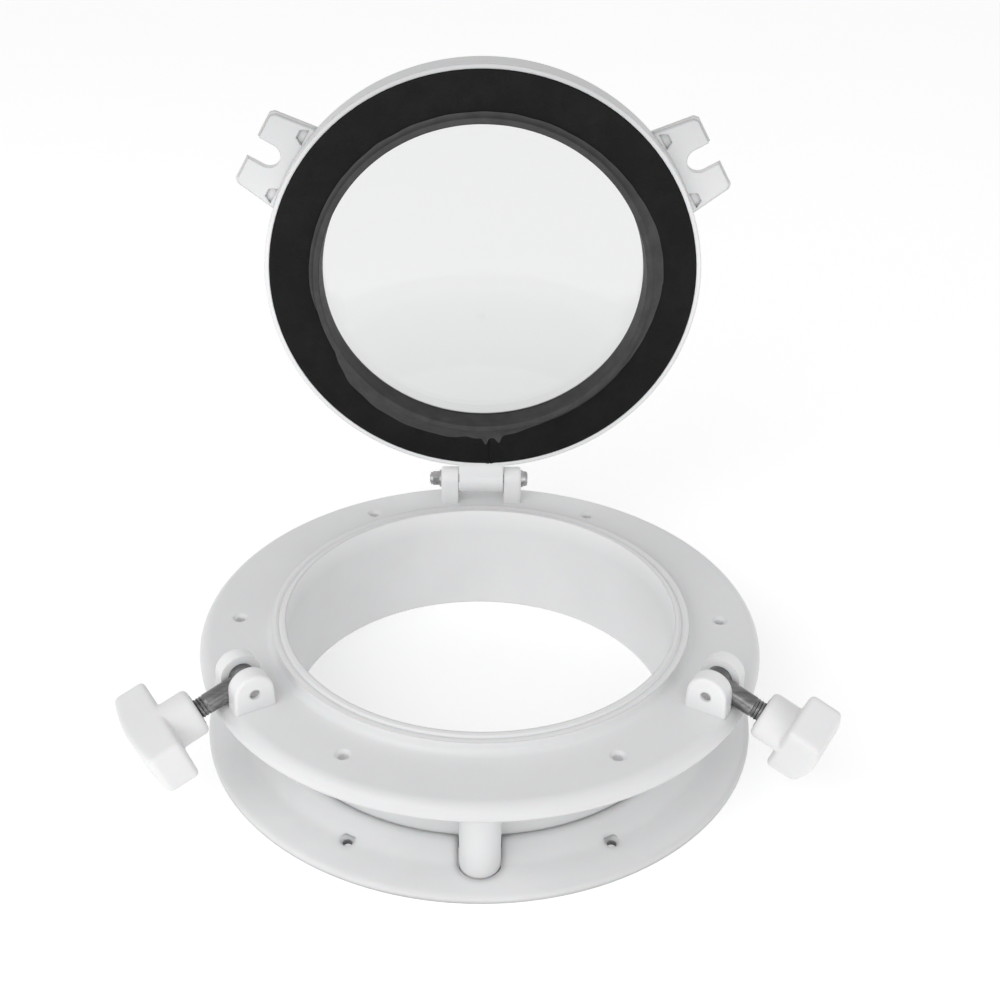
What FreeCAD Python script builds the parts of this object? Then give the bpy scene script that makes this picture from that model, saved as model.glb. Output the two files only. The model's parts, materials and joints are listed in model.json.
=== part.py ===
"""Round opening portlight: frame, loose trim ring, hinged lid and two swing-bolt dogs.

The origin is the centre of the clear opening in the plane of the spigot's end, +Z up through the
opening. The hinge is at +Y, the drain spout at -Y and the dogs at 210 and 330 degrees.
The lid stands open and the dogs hang outwards on the flange's edge.
"""
import FreeCAD, Part
import math
import os

import Sketcher
from FreeCAD import Placement, Rotation, Vector

os.makedirs("parts", exist_ok=True)
doc = FreeCAD.newDocument("Portlight")

X_AXIS = Vector(1, 0, 0)
Y_AXIS = Vector(0, 1, 0)
Z_AXIS = Vector(0, 0, 1)

# ---------------------------------------------------------------------------------------------
# Driving dimensions, in millimetres and degrees
# ---------------------------------------------------------------------------------------------
DIMENSIONS = [
    # frame
    ("flange_radius", 141.0, "outer radius of the flange"),
    ("flange_thickness", 7.2, "thickness of the flange"),
    ("flange_round", 6.0, "rounding of the flange's upper edge"),
    ("frame_height", 55.3, "spigot end to the flange's upper face"),
    ("opening_radius", 98.0, "clear opening"),
    ("spigot_radius", 107.0, "outside of the spigot"),
    ("lip_height", 6.7, "inner sealing lip above the flange"),
    ("lip_outer_radius", 105.2, "outside of the second lip"),
    ("lip_fillet", 3.5, "fillet between the lip and the flange"),
    ("outer_lip_drop", 0.5, "outer lip's ridge below the inner one"),
    ("outer_lip_width", 2.6, "outer lip's flat ridge"),
    ("groove_half", 1.1, "half width of the groove between the lips"),
    ("groove_depth", 1.2, "groove between the lips"),
    ("spigot_chamfer", 0.8, "chamfer of the spigot's end"),
    ("screw_circle_radius", 122.0, "screw holes of the flange and the trim ring"),
    ("screw_hole_diameter", 4.5, "screw clearance hole"),
    ("countersink_diameter", 7.6, "countersink at the face"),
    ("screw_count", 6, "screws round the flange"),
    # drain spout
    ("spout_width", 19.0, "width of the drain spout"),
    ("spout_centre", 119.5, "centre of the spout's round end"),
    ("spout_root", 101.0, "spout's root, inside the spigot's wall"),
    ("spout_bore", 9.0, "bore of the drain spout"),
    ("spout_bore_top", 46.0, "closed end of the spout's bore"),
    ("spout_port_height", 41.0, "centre of the port into the spout"),
    ("spout_port_radius", 3.5, "port into the spout"),
    # hinge
    ("hinge_radius", 126.3, "hinge axis from the opening's axis"),
    ("hinge_height", 67.35, "hinge axis above the spigot's end"),
    ("hinge_ear_inner", 13.1, "inner face of each hinge ear"),
    ("hinge_ear_thickness", 10.0, "thickness of each hinge ear"),
    ("hinge_ear_radius", 7.0, "round top of each hinge ear"),
    ("hinge_ear_foot", 8.5, "half width of a hinge ear's foot"),
    ("hinge_ear_fillet", 1.6, "rounding of the ears' outer edges"),
    ("hinge_bolt_radius", 2.5, "M5 bolt"),
    ("hinge_hole_radius", 2.56, "holes for the hinge bolt"),
    ("knuckle_radius", 8.0, "lid knuckle"),
    ("knuckle_half_width", 12.7, "half width of the lid knuckle"),
    ("open_angle", 86.25, "lid opening"),
    # clevises and pins
    ("dog_radius", 127.0, "dog pins from the opening's axis"),
    ("dog_pin_rise", 8.8, "dog pins above the flange"),
    ("clevis_gap", 9.0, "between the ears of a clevis"),
    ("clevis_ear_thickness", 8.6, "thickness of each clevis ear"),
    ("clevis_ear_radius", 9.7, "round top of each clevis ear"),
    ("clevis_foot", 10.2, "half width of a clevis ear's foot"),
    ("clevis_fillet", 1.4, "rounding of the ears' outer edges"),
    ("dog_pin_radius", 2.5, "dog pin"),
    ("pin_hole_radius", 2.52, "holes for the dog pin"),
    ("pin_recess", 1.5, "pin end below the ear's face"),
    # trim ring
    ("ring_hole_radius", 107.5, "hole of the trim ring"),
    ("ring_radius", 140.6, "outside of the trim ring"),
    ("ring_inner_height", 9.2, "height at the hole"),
    ("ring_screw_height", 4.3, "height at the screw circle"),
    ("ring_land", 1.5, "flat round the hole"),
    ("ring_bend_radius", 130.0, "where the ring's face turns flatter"),
    ("ring_bend_height", 3.9, "height where the face turns flatter"),
    ("ring_outer_height", 2.9, "height at the outer edge"),
    ("ring_round", 2.2, "rounding of the outer edge"),
    ("notch_clearance", 0.5, "room round the drain spout"),
    # lid, measured from the gasket's face
    ("gasket_gap", 0.3, "closed gasket above the lip"),
    ("lid_radius", 115.5, "outside of the lid"),
    ("lid_depth", 16.0, "gasket face to the lid's outer face"),
    ("lid_round", 3.0, "rounding of the lid's outer face"),
    ("rim_setback", 0.6, "rim edge behind the gasket's face"),
    ("gasket_outer", 113.0, "outside of the gasket"),
    ("gasket_inner", 93.0, "inside of the gasket"),
    ("gasket_thickness", 5.2, "gasket"),
    ("gasket_seat_radius", 113.1, "seat of the gasket"),
    ("pane_radius", 90.4, "pane"),
    ("pane_seat_radius", 90.8, "seat of the pane"),
    ("sight_radius", 86.9, "visible pane"),
    ("sight_chamfer", 1.2, "chamfer of the opening in the lid's outer face"),
    ("pane_depth", 9.4, "gasket face to the pane"),
    ("pane_thickness", 4.0, "pane"),
    ("seal_thickness", 0.6, "pane seal"),
    ("retainer_rise", 3.4, "retainer in front of the gasket's face"),
    ("retainer_bore_radius", 86.5, "mouth of the retainer"),
    ("retainer_radius", 92.6, "outside of the retainer"),
    ("retainer_foot_radius", 90.6, "retainer inside the pane's seat"),
    ("seal_bore_radius", 87.1, "inside of the pane seal"),
    ("retainer_edge", 0.6, "bevel of the retainer's front edges"),
    ("arm_root", 114.0, "hinge arm's root, inside the lid ring"),
    ("arm_setback", 1.0, "hinge arm behind the gasket's face"),
    ("lug_depth", 12.0, "gasket face to the lug's inner face"),
    ("lug_reach", 136.8, "end of the lug"),
    ("lug_end_half", 21.9, "half width of the lug's end"),
    ("lug_root_half", 25.6, "half width of the lug's root"),
    ("lug_root", 109.0, "lug's root, inside the lid ring"),
    ("lug_corner", 2.0, "chamfer of the lug's corners"),
    ("lug_slot_width", 12.6, "fork of the lug"),
    ("lug_slot_centre", 127.6, "centre of the fork's round end"),
    ("lug_step_depth", 14.2, "gasket face to the step round the lug"),
    ("lug_step", 1.0, "the lug's back stands out past its front"),
    ("pocket_spacing", 18.0, "lug's middle to each small pocket"),
    ("pocket_half", 4.6, "half width of a pocket at the rim"),
    ("pocket_length", 4.0, "pocket, outwards from the rim"),
    ("pocket_depth", 1.8, "pocket"),
    # swing bolts and knobs, measured from the dog pin
    ("droop_angle", 19.5, "swing bolt below the horizontal"),
    ("bolt_radius", 4.9, "M10 swing bolt"),
    ("bolt_length", 42.0, "pin to the bolt's end"),
    ("bolt_bevel", 1.0, "bevel of the bolt's end"),
    ("eye_radius", 6.2, "eye of the swing bolt"),
    ("eye_width", 8.4, "width of the eye and its neck"),
    ("eye_hole_radius", 2.56, "hole of the eye"),
    ("neck_length", 13.4, "pin to the bolt's full diameter"),
    ("hub_start", 25.0, "pin to the hub's inner face"),
    ("hub_length", 14.0, "hub"),
    ("hub_radius", 11.5, "hub"),
    ("bar_length", 53.6, "knob bar"),
    ("bar_width", 23.4, "knob bar"),
    ("bar_thickness", 15.6, "knob bar, at its ends"),
    ("bar_crown", 3.4, "rise of the knob's outer face"),
    ("bar_round", 3.0, "rounding of the bar's edges"),
    ("insert_radius", 7.0, "threaded insert"),
    ("insert_seat_radius", 7.02, "seat of the insert"),
    ("insert_length", 15.0, "threaded insert"),
    ("insert_bore_radius", 5.0, "bore of the insert"),
    ("knob_bore_radius", 5.4, "blind bore behind the insert"),
    ("knob_bore_depth", 29.0, "hub face to the blind bore's end"),
    ("washer_radius", 7.5, "knob washer"),
    ("washer_bore_radius", 5.2, "bore of the washer, round the bolt"),
    ("washer_recess_radius", 7.9, "recess of the washer"),
    ("washer_thickness", 1.3, "knob washer"),
    ("washer_proud", 0.2, "knob washer above the hub's face"),
    ("washer_recess", 1.5, "depth of the washer's recess"),
]

ALIASES = {alias for alias, value, meaning in DIMENSIONS}
sheet = doc.addObject("Spreadsheet::Sheet", "Dimensions")
for row, (alias, value, meaning) in enumerate(DIMENSIONS, start=1):
    sheet.set("A%d" % row, meaning)
    sheet.set("B%d" % row, str(value))
    sheet.setAlias("B%d" % row, alias)
doc.recompute()


def size(alias):
    """A driving dimension's value."""
    return float(getattr(sheet, alias))


def expr(text):
    """An expression on the sheet: each alias in the text gets the sheet's name before it."""
    words = []
    for word in text.split():
        words.append("Dimensions." + word if word in ALIASES else word)
    return " ".join(words)


def bind(thing, prop, text):
    """Bind a property to an expression on the sheet."""
    thing.setExpression(prop, expr(text))


def worth(text):
    """An expression's value, for a sketch's first guess."""
    words = [str(size(word)) if word in ALIASES else word for word in text.split()]
    return float(FreeCAD.Units.Quantity("".join(words)).Value)


# ---------------------------------------------------------------------------------------------
# Sketches and PartDesign features
# ---------------------------------------------------------------------------------------------
def new_body(label):
    body = doc.addObject("PartDesign::Body", label)
    body.Label = label
    return body


def datum(body, role):
    """One of the body's own planes or axes."""
    for feature in body.Origin.OriginFeatures:
        if feature.Role == role:
            return feature
    raise RuntimeError("no datum " + role)


def new_sketch(body, name, role, offset=Placement()):
    sketch = body.newObject("Sketcher::SketchObject", name)
    sketch.AttachmentSupport = (datum(body, role), [""])
    sketch.MapMode = "FlatFace"
    sketch.AttachmentOffset = offset
    return sketch


def hold_point(sketch, geometry, end, across, up):
    """Hold a point of the sketch at two expressions."""
    for kind, text in (("DistanceX", across), ("DistanceY", up)):
        number = sketch.addConstraint(
            Sketcher.Constraint(kind, -1, 1, geometry, end, worth(text)))
        sketch.setExpression("Constraints[%d]" % number, expr(text))


def polygon(sketch, corners):
    """A closed outline through corners, each a pair of expressions."""
    count = len(corners)
    spots = [Vector(worth(across), worth(up), 0) for across, up in corners]
    first = sketch.GeometryCount
    for index in range(count):
        sketch.addGeometry(Part.LineSegment(spots[index], spots[(index + 1) % count]), False)
    for index in range(count):
        after = first + (index + 1) % count
        sketch.addConstraint(Sketcher.Constraint("Coincident", first + index, 2, after, 1))
    for index, (across, up) in enumerate(corners):
        hold_point(sketch, first + index, 1, across, up)


def circle(sketch, across, up, radius):
    """A circle at two expressions, with its radius an expression."""
    centre = Vector(worth(across), worth(up), 0)
    number = sketch.addGeometry(Part.Circle(centre, Z_AXIS, worth(radius)), False)
    hold_point(sketch, number, 3, across, up)
    constraint = sketch.addConstraint(Sketcher.Constraint("Radius", number, worth(radius)))
    sketch.setExpression("Constraints[%d]" % constraint, expr(radius))


def round_ended(sketch, centre, radius, foot, root):
    """A tongue from a straight root to a round end, along the sketch's second axis.

    centre holds the round end's middle as two expressions; foot is the root's half width.
    """
    across, up = centre
    middle = Vector(worth(across), worth(up), 0)
    reach = worth(radius)
    side = 1.0 if middle.y > worth(root) else -1.0
    low = Vector(middle.x - worth(foot), worth(root), 0)
    high = Vector(middle.x + worth(foot), worth(root), 0)
    left = middle - X_AXIS * reach
    right = middle + X_AXIS * reach
    top = middle + Y_AXIS * reach * side
    arc = sketch.addGeometry(Part.Arc(left, top, right), False)
    start, end = (2, 1) if side > 0 else (1, 2)
    rise = sketch.addGeometry(Part.LineSegment(low, left), False)
    fall = sketch.addGeometry(Part.LineSegment(right, high), False)
    base = sketch.addGeometry(Part.LineSegment(high, low), False)
    sketch.addConstraint(Sketcher.Constraint("Tangent", rise, 2, arc, start))
    sketch.addConstraint(Sketcher.Constraint("Tangent", arc, end, fall, 1))
    sketch.addConstraint(Sketcher.Constraint("Coincident", fall, 2, base, 1))
    sketch.addConstraint(Sketcher.Constraint("Coincident", base, 2, rise, 1))
    number = sketch.addConstraint(Sketcher.Constraint("Radius", arc, reach))
    sketch.setExpression("Constraints[%d]" % number, expr(radius))
    hold_point(sketch, arc, 3, across, up)
    hold_point(sketch, rise, 1, across + " - ( " + foot + " )", root)
    hold_point(sketch, fall, 2, across + " + ( " + foot + " )", root)


def revolve(body, name, corners):
    """Turn an outline of radius and height about the Z axis."""
    sketch = new_sketch(body, name + "Outline", "XZ_Plane")
    polygon(sketch, corners)
    turned = body.newObject("PartDesign::Revolution", name)
    turned.Profile = sketch
    turned.ReferenceAxis = (datum(body, "Z_Axis"), [""])
    turned.Angle = 360
    doc.recompute()
    return turned


def pad(body, sketch, length, midplane=False):
    feature = body.newObject("PartDesign::Pad", sketch.Name + "Pad")
    feature.Profile = sketch
    feature.SideType = "Symmetric" if midplane else "One side"
    bind(feature, "Length", length)
    before = body.Shape.Volume
    doc.recompute()
    if body.Shape.Volume <= before:
        raise RuntimeError(feature.Name + " adds nothing")
    return feature


def pocket(body, sketch, length, midplane=False, backwards=False):
    feature = body.newObject("PartDesign::Pocket", sketch.Name + "Pocket")
    feature.Profile = sketch
    feature.SideType = "Symmetric" if midplane else "One side"
    feature.Reversed = backwards
    bind(feature, "Length", length)
    before = body.Shape.Volume
    doc.recompute()
    if body.Shape.Volume >= before:
        raise RuntimeError(feature.Name + " cuts nothing")
    return feature


def ring_edges(shape, radius, height):
    """Names of the round edges about Z with this radius at this height."""
    names = []
    for number, edge in enumerate(shape.Edges, start=1):
        curve = edge.Curve
        if not isinstance(curve, Part.Circle):
            continue
        level = abs(curve.Center.z - height) < 0.01
        centred = abs(curve.Center.x) + abs(curve.Center.y) < 0.01
        if level and centred and abs(curve.Radius - radius) < 0.01:
            names.append("Edge%d" % number)
    if not names:
        raise RuntimeError("no edge of radius %.2f at height %.2f" % (radius, height))
    return names


def arc_edges(shape, radius, centres):
    """Names of the arcs with this radius about the given centres."""
    names = []
    for number, edge in enumerate(shape.Edges, start=1):
        curve = edge.Curve
        if not isinstance(curve, Part.Circle) or abs(curve.Radius - radius) > 0.01:
            continue
        if min(curve.Center.distanceToPoint(centre) for centre in centres) < 0.01:
            names.append("Edge%d" % number)
    if len(names) < len(centres):
        raise RuntimeError("%d arcs of radius %.2f found" % (len(names), radius))
    return names


def round_edge(body, name, edges, radius):
    base = body.Tip
    feature = body.newObject("PartDesign::Fillet", name)
    feature.Base = (base, edges)
    bind(feature, "Radius", radius)
    body.Tip = feature
    doc.recompute()
    return feature


def chamfer_edge(body, name, edges, length):
    base = body.Tip
    feature = body.newObject("PartDesign::Chamfer", name)
    feature.Base = (base, edges)
    bind(feature, "Size", length)
    body.Tip = feature
    doc.recompute()
    return feature


def screw_holes(body, face_height):
    """Countersunk screw holes round the Z axis, drilled down from face_height."""
    level = Placement(Vector(0, 0, worth(face_height)), Rotation())
    drill = new_sketch(body, "ScrewHole", "XY_Plane", level)
    circle(drill, "screw_circle_radius", "0", "screw_hole_diameter / 2")
    shank = pocket(body, drill, "4 * frame_height", midplane=True)
    sink = new_sketch(body, "Countersink", "XZ_Plane")
    middle = "screw_circle_radius"
    polygon(sink, [
        (middle, face_height + " + 1"),
        (middle, face_height + " - countersink_diameter / 2"),
        (middle + " + countersink_diameter / 2", face_height),
        (middle + " + countersink_diameter / 2", face_height + " + 1"),
    ])
    cone = body.newObject("PartDesign::Groove", "CountersinkCone")
    cone.Profile = sink
    cone.ReferenceAxis = (sink, ["Edge1"])
    cone.Angle = 360
    doc.recompute()
    pattern = body.newObject("PartDesign::PolarPattern", "ScrewPattern")
    pattern.Originals = [shank, cone]
    pattern.Axis = (datum(body, "Z_Axis"), [""])
    pattern.Angle = 360
    bind(pattern, "Occurrences", "screw_count")
    body.Tip = pattern
    doc.recompute()


# ---------------------------------------------------------------------------------------------
# Part primitives and booleans
# ---------------------------------------------------------------------------------------------
def cylinder(name, radius, length, place=Placement()):
    solid = doc.addObject("Part::Cylinder", name)
    bind(solid, "Radius", radius)
    bind(solid, "Height", length)
    solid.Placement = place
    return solid


def fused(name, pieces):
    solid = doc.addObject("Part::MultiFuse", name)
    solid.Shapes = pieces
    return solid


def cut_from(name, base, tool):
    solid = doc.addObject("Part::Cut", name)
    solid.Base = base
    solid.Tool = tool
    return solid


def along_x(start):
    """A cylinder's placement: along +X from start."""
    return Placement(Vector(start, 0, 0), Rotation(Y_AXIS, 90))


def along_y(start):
    """A cylinder's placement: along +Y from start."""
    return Placement(Vector(0, start, 0), Rotation(X_AXIS, -90))


def turn_about(point, direction, degrees):
    """A turn about an axis through a point."""
    return Placement(Vector(0, 0, 0), Rotation(direction, degrees), point)


def dog_place(azimuth, roll=0.0):
    """From a dog's own frame, pin along Y and bolt along X, to its hanging place."""
    spot = Vector(size("dog_radius"), 0, size("frame_height") + size("dog_pin_rise"))
    outward = Placement(Vector(0, 0, 0), Rotation(Z_AXIS, azimuth))
    droop = Placement(spot, Rotation(Y_AXIS, size("droop_angle")))
    turn = Placement(Vector(0, 0, 0), Rotation(X_AXIS, roll))
    return outward * droop * turn


# ---------------------------------------------------------------------------------------------
# Frame and trim ring
# ---------------------------------------------------------------------------------------------
DOGS = {"left": 210.0, "right": 330.0}
KNOB_ROLLS = {"left": 0.0, "right": -60.0}


def frame_section(body):
    """Spigot, flange and the two sealing lips, turned about the opening's axis."""
    top = "frame_height"
    under = "frame_height - flange_thickness"
    crest = top + " + lip_height"
    ridge = "lip_outer_radius - outer_lip_width"
    revolve(body, "FrameSection", [
        ("opening_radius", "0"),
        ("spigot_radius", "0"),
        ("spigot_radius", under),
        ("flange_radius", under),
        ("flange_radius", top),
        ("lip_outer_radius", top),
        ("lip_outer_radius", crest + " - outer_lip_drop"),
        (ridge, crest + " - outer_lip_drop"),
        (ridge + " - groove_half", crest + " - groove_depth"),
        (ridge + " - 2 * groove_half", crest),
        ("opening_radius", crest),
    ])
    rim = ring_edges(body.Shape, size("flange_radius"), size("frame_height"))
    round_edge(body, "FlangeRound", rim, "flange_round")
    root = ring_edges(body.Shape, size("lip_outer_radius"), size("frame_height"))
    round_edge(body, "LipFillet", root, "lip_fillet")
    spigot_end = ring_edges(body.Shape, size("spigot_radius"), 0.0)
    chamfer_edge(body, "SpigotChamfer", spigot_end, "spigot_chamfer")


def hinge_ears(body):
    """Two round-topped ears at the back of the flange, and the bolt's hole through them."""
    middle = size("hinge_ear_inner") + size("hinge_ear_thickness") / 2
    for name, side in (("HingeEarRight", 1), ("HingeEarLeft", -1)):
        place = Placement(Vector(0, 0, side * middle), Rotation())
        sketch = new_sketch(body, name, "YZ_Plane", place)
        round_ended(sketch, ("hinge_radius", "hinge_height"), "hinge_ear_radius",
                    "hinge_ear_foot", "frame_height - 1")
        pad(body, sketch, "hinge_ear_thickness", midplane=True)
    hole = new_sketch(body, "HingeHole", "YZ_Plane")
    circle(hole, "hinge_radius", "hinge_height", "hinge_hole_radius")
    pocket(body, hole, "4 * hinge_ear_inner", midplane=True)


def clevises(body):
    """Two pairs of ears for the swing bolts, each pair with a pin hole across it."""
    height = "frame_height + dog_pin_rise"
    middle = (size("clevis_gap") + size("clevis_ear_thickness")) / 2
    for side, azimuth in DOGS.items():
        turn = Rotation(Y_AXIS, azimuth)
        for name, step in (("Near", 1), ("Far", -1)):
            place = Placement(turn.multVec(Vector(0, 0, step * middle)), turn)
            sketch = new_sketch(body, "Clevis" + side + name, "XZ_Plane", place)
            round_ended(sketch, ("dog_radius", height), "clevis_ear_radius",
                        "clevis_foot", "frame_height - 1")
            pad(body, sketch, "clevis_ear_thickness", midplane=True)
        place = Placement(Vector(0, 0, 0), turn)
        hole = new_sketch(body, "PinHole" + side, "XZ_Plane", place)
        circle(hole, "dog_radius", height, "pin_hole_radius")
        pocket(body, hole, "clevis_gap + 2 * clevis_ear_thickness + 2", midplane=True)


def round_ears(body):
    """Round the outer edges of the hinge ears and of the clevis ears."""
    outer = size("hinge_ear_inner") + size("hinge_ear_thickness")
    ends = [Vector(step * outer, size("hinge_radius"), size("hinge_height")) for step in (1, -1)]
    arcs = arc_edges(body.Shape, size("hinge_ear_radius"), ends)
    round_edge(body, "HingeEarRound", arcs, "hinge_ear_fillet")
    outer = size("clevis_gap") / 2 + size("clevis_ear_thickness")
    pin = Vector(size("dog_radius"), 0, size("frame_height") + size("dog_pin_rise"))
    for side, azimuth in DOGS.items():
        outward = Rotation(Z_AXIS, azimuth)
        ends = [outward.multVec(pin + Y_AXIS * step * outer) for step in (1, -1)]
        arcs = arc_edges(body.Shape, size("clevis_ear_radius"), ends)
        round_edge(body, "ClevisRound" + side, arcs, "clevis_fillet")


def drain_spout(body):
    """A round-ended column under the flange, with a bore and a port from the opening."""
    column = new_sketch(body, "Spout", "XY_Plane")
    round_ended(column, ("0", "0 - spout_centre"), "spout_width / 2", "spout_width / 2",
                "0 - spout_root")
    pad(body, column, "frame_height - flange_thickness / 2")
    bore = new_sketch(body, "SpoutBore", "XY_Plane")
    circle(bore, "0", "0 - spout_centre", "spout_bore / 2")
    pocket(body, bore, "spout_bore_top", backwards=True)
    port = new_sketch(body, "SpoutPort", "XZ_Plane")
    circle(port, "0", "spout_port_height", "spout_port_radius")
    pocket(body, port, "spout_centre", backwards=True)


def frame_moulding():
    body = new_body("frame_moulding")
    frame_section(body)
    hinge_ears(body)
    clevises(body)
    drain_spout(body)
    screw_holes(body, "frame_height")
    round_ears(body)
    return body


def trim_ring():
    """The loose ring: coned near its hole, thin at its edge, notched for the drain spout."""
    body = new_body("trim_ring")
    revolve(body, "RingSection", [
        ("ring_hole_radius", "0"),
        ("ring_radius", "0"),
        ("ring_radius", "ring_outer_height"),
        ("ring_bend_radius", "ring_bend_height"),
        ("screw_circle_radius", "ring_screw_height"),
        ("ring_hole_radius + ring_land", "ring_inner_height"),
        ("ring_hole_radius", "ring_inner_height"),
    ])
    edge = ring_edges(body.Shape, size("ring_radius"), size("ring_outer_height"))
    round_edge(body, "RingRound", edge, "ring_round")
    notch = new_sketch(body, "Notch", "XY_Plane")
    round_ended(notch, ("0", "0 - spout_centre"), "spout_width / 2 + notch_clearance",
                "spout_width / 2 + notch_clearance", "0 - opening_radius")
    pocket(body, notch, "2 * ring_inner_height", backwards=True)
    screw_holes(body, "ring_screw_height")
    return body


# ---------------------------------------------------------------------------------------------
# Lid, modelled closed and turned open about the hinge axis
# ---------------------------------------------------------------------------------------------
GASKET_FACE = "frame_height + lip_height + gasket_gap"


def lid_ring_section(body):
    face = GASKET_FACE
    seat = face + " + pane_depth + pane_thickness + seal_thickness"
    revolve(body, "LidSection", [
        ("gasket_seat_radius", face + " + rim_setback"),
        ("lid_radius", face + " + rim_setback"),
        ("lid_radius", face + " + lid_depth"),
        ("sight_radius", face + " + lid_depth"),
        ("sight_radius", seat),
        ("pane_seat_radius", seat),
        ("pane_seat_radius", face + " + gasket_thickness"),
        ("gasket_seat_radius", face + " + gasket_thickness"),
    ])
    top = worth(face + " + lid_depth")
    outer = ring_edges(body.Shape, size("lid_radius"), top)
    feature = round_edge(body, "LidRound", outer, "lid_round")
    inner = ring_edges(feature.Shape, size("sight_radius"), top)
    chamfer_edge(body, "SightChamfer", inner, "sight_chamfer")


def lug_outline(body, name, place, length, inset="0"):
    """One plate of a lug; inset is how far its sides stand in."""
    end = "( lug_end_half - " + inset + " )"
    root = "( lug_root_half - " + inset + " )"
    reach = "lug_reach - " + inset
    sketch = new_sketch(body, name, "XY_Plane", place)
    polygon(sketch, [
        ("lug_root", "0 - " + root),
        (reach + " - lug_corner", "0 - " + end),
        (reach, "0 - " + end + " + lug_corner"),
        (reach, end + " - lug_corner"),
        (reach + " - lug_corner", end),
        ("lug_root", root),
    ])
    pad(body, sketch, length)


def lid_lugs(body):
    """Two forked lugs flush with the lid's outer face, each a plate with a wider back."""
    front = worth(GASKET_FACE + " + lug_depth")
    step = worth(GASKET_FACE + " + lug_step_depth")
    for side, azimuth in DOGS.items():
        turn = Rotation(Z_AXIS, azimuth)
        lug_outline(body, "LugFront" + side, Placement(Vector(0, 0, front), turn),
                    "lid_depth - lug_depth", "lug_step")
        lug_outline(body, "LugBack" + side, Placement(Vector(0, 0, step), turn),
                    "lid_depth - lug_step_depth")
        place = Placement(Vector(0, 0, front), Rotation(Z_AXIS, azimuth - 90.0))
        fork = new_sketch(body, "Fork" + side, "XY_Plane", place)
        round_ended(fork, ("0", "lug_slot_centre"), "lug_slot_width / 2", "lug_slot_width / 2",
                    "lug_reach + 2")
        pocket(body, fork, "3 * lug_depth", midplane=True)
        hollows = new_sketch(body, "Hollows" + side, "XY_Plane",
                             Placement(Vector(0, 0, front), turn))
        for middle in ("0 - pocket_spacing", "pocket_spacing"):
            polygon(hollows, [
                ("lid_radius", middle + " - pocket_half"),
                ("lid_radius + pocket_length", middle + " - pocket_half / 2"),
                ("lid_radius + pocket_length", middle + " + pocket_half / 2"),
                ("lid_radius", middle + " + pocket_half"),
            ])
        pocket(body, hollows, "pocket_depth", backwards=True)


def lid_knuckle(body):
    """The hinge knuckle on its arm, with the bolt's hole."""
    arm = new_sketch(body, "KnuckleArm", "YZ_Plane")
    polygon(arm, [
        ("arm_root", GASKET_FACE + " + arm_setback"),
        ("hinge_radius", "hinge_height - knuckle_radius"),
        ("hinge_radius", "hinge_height + knuckle_radius"),
        ("arm_root", "hinge_height + knuckle_radius"),
    ])
    pad(body, arm, "2 * knuckle_half_width", midplane=True)
    barrel = new_sketch(body, "KnuckleBarrel", "YZ_Plane")
    circle(barrel, "hinge_radius", "hinge_height", "knuckle_radius")
    pad(body, barrel, "2 * knuckle_half_width", midplane=True)
    hole = new_sketch(body, "KnuckleHole", "YZ_Plane")
    circle(hole, "hinge_radius", "hinge_height", "hinge_hole_radius")
    pocket(body, hole, "3 * knuckle_half_width", midplane=True)


def lid_ring():
    body = new_body("lid_ring")
    lid_ring_section(body)
    lid_lugs(body)
    lid_knuckle(body)
    return body


def lid_disc(label, corners):
    """A round piece of the lid: its outline holds radii and depths behind the gasket's face."""
    body = new_body(label)
    section = [(radius, GASKET_FACE + " + " + depth) for radius, depth in corners]
    revolve(body, label + "Section", section)
    return body


def lid_gasket():
    return lid_disc("lid_gasket", [
        ("gasket_inner", "0"),
        ("gasket_outer", "0"),
        ("gasket_outer", "gasket_thickness"),
        ("gasket_inner", "gasket_thickness"),
    ])


def pane_retainer():
    """The ring that holds the pane: it stands out past the gasket and is deep inside."""
    outside = "retainer_radius"
    foot = "retainer_foot_radius"
    bore = "retainer_bore_radius"
    front = "0 - retainer_rise"
    return lid_disc("pane_retainer", [
        (outside, front + " + retainer_edge"),
        (outside, "gasket_thickness"),
        (foot, "gasket_thickness"),
        (foot, "pane_depth"),
        ("sight_radius", "pane_depth"),
        (bore, front + " + retainer_edge"),
        (bore + " + retainer_edge", front),
        (outside + " - retainer_edge", front),
    ])


def lid_pane():
    return lid_disc("lid_pane", [
        ("0", "pane_depth"),
        ("pane_radius", "pane_depth"),
        ("pane_radius", "pane_depth + pane_thickness"),
        ("0", "pane_depth + pane_thickness"),
    ])


def pane_seal():
    behind = "pane_depth + pane_thickness"
    return lid_disc("pane_seal", [
        ("seal_bore_radius", behind),
        ("pane_radius", behind),
        ("pane_radius", behind + " + seal_thickness"),
        ("seal_bore_radius", behind + " + seal_thickness"),
    ])


# ---------------------------------------------------------------------------------------------
# Hinge bolt, nut and washers, along X through the hinge axis
# ---------------------------------------------------------------------------------------------
WASHER_GAP = 0.05
M5_WASHER = 1.0
M5_WASHER_RADIUS = 5.0
M5_WASHER_BORE = 2.65
M5_HEAD = 2.8
M5_HEAD_RADIUS = 4.4
M5_HEAD_DOME = 1.6
M5_DRIVE_DEPTH = 1.4
M5_DRIVE_SPAN = 4.4
M5_DRIVE_SLOT = 0.9
M5_NUT = 5.0
M5_NUT_FLATS = 8.0
M5_COLLAR = 1.3
M5_COLLAR_RADIUS = 3.6
M5_TAIL = 0.5


def ear_face():
    return size("hinge_ear_inner") + size("hinge_ear_thickness")


def seat_face():
    """Outer face of each hinge washer."""
    return ear_face() + M5_WASHER + 2 * WASHER_GAP


def hinge_place():
    return Placement(Vector(0, size("hinge_radius"), size("hinge_height")), Rotation())


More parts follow.
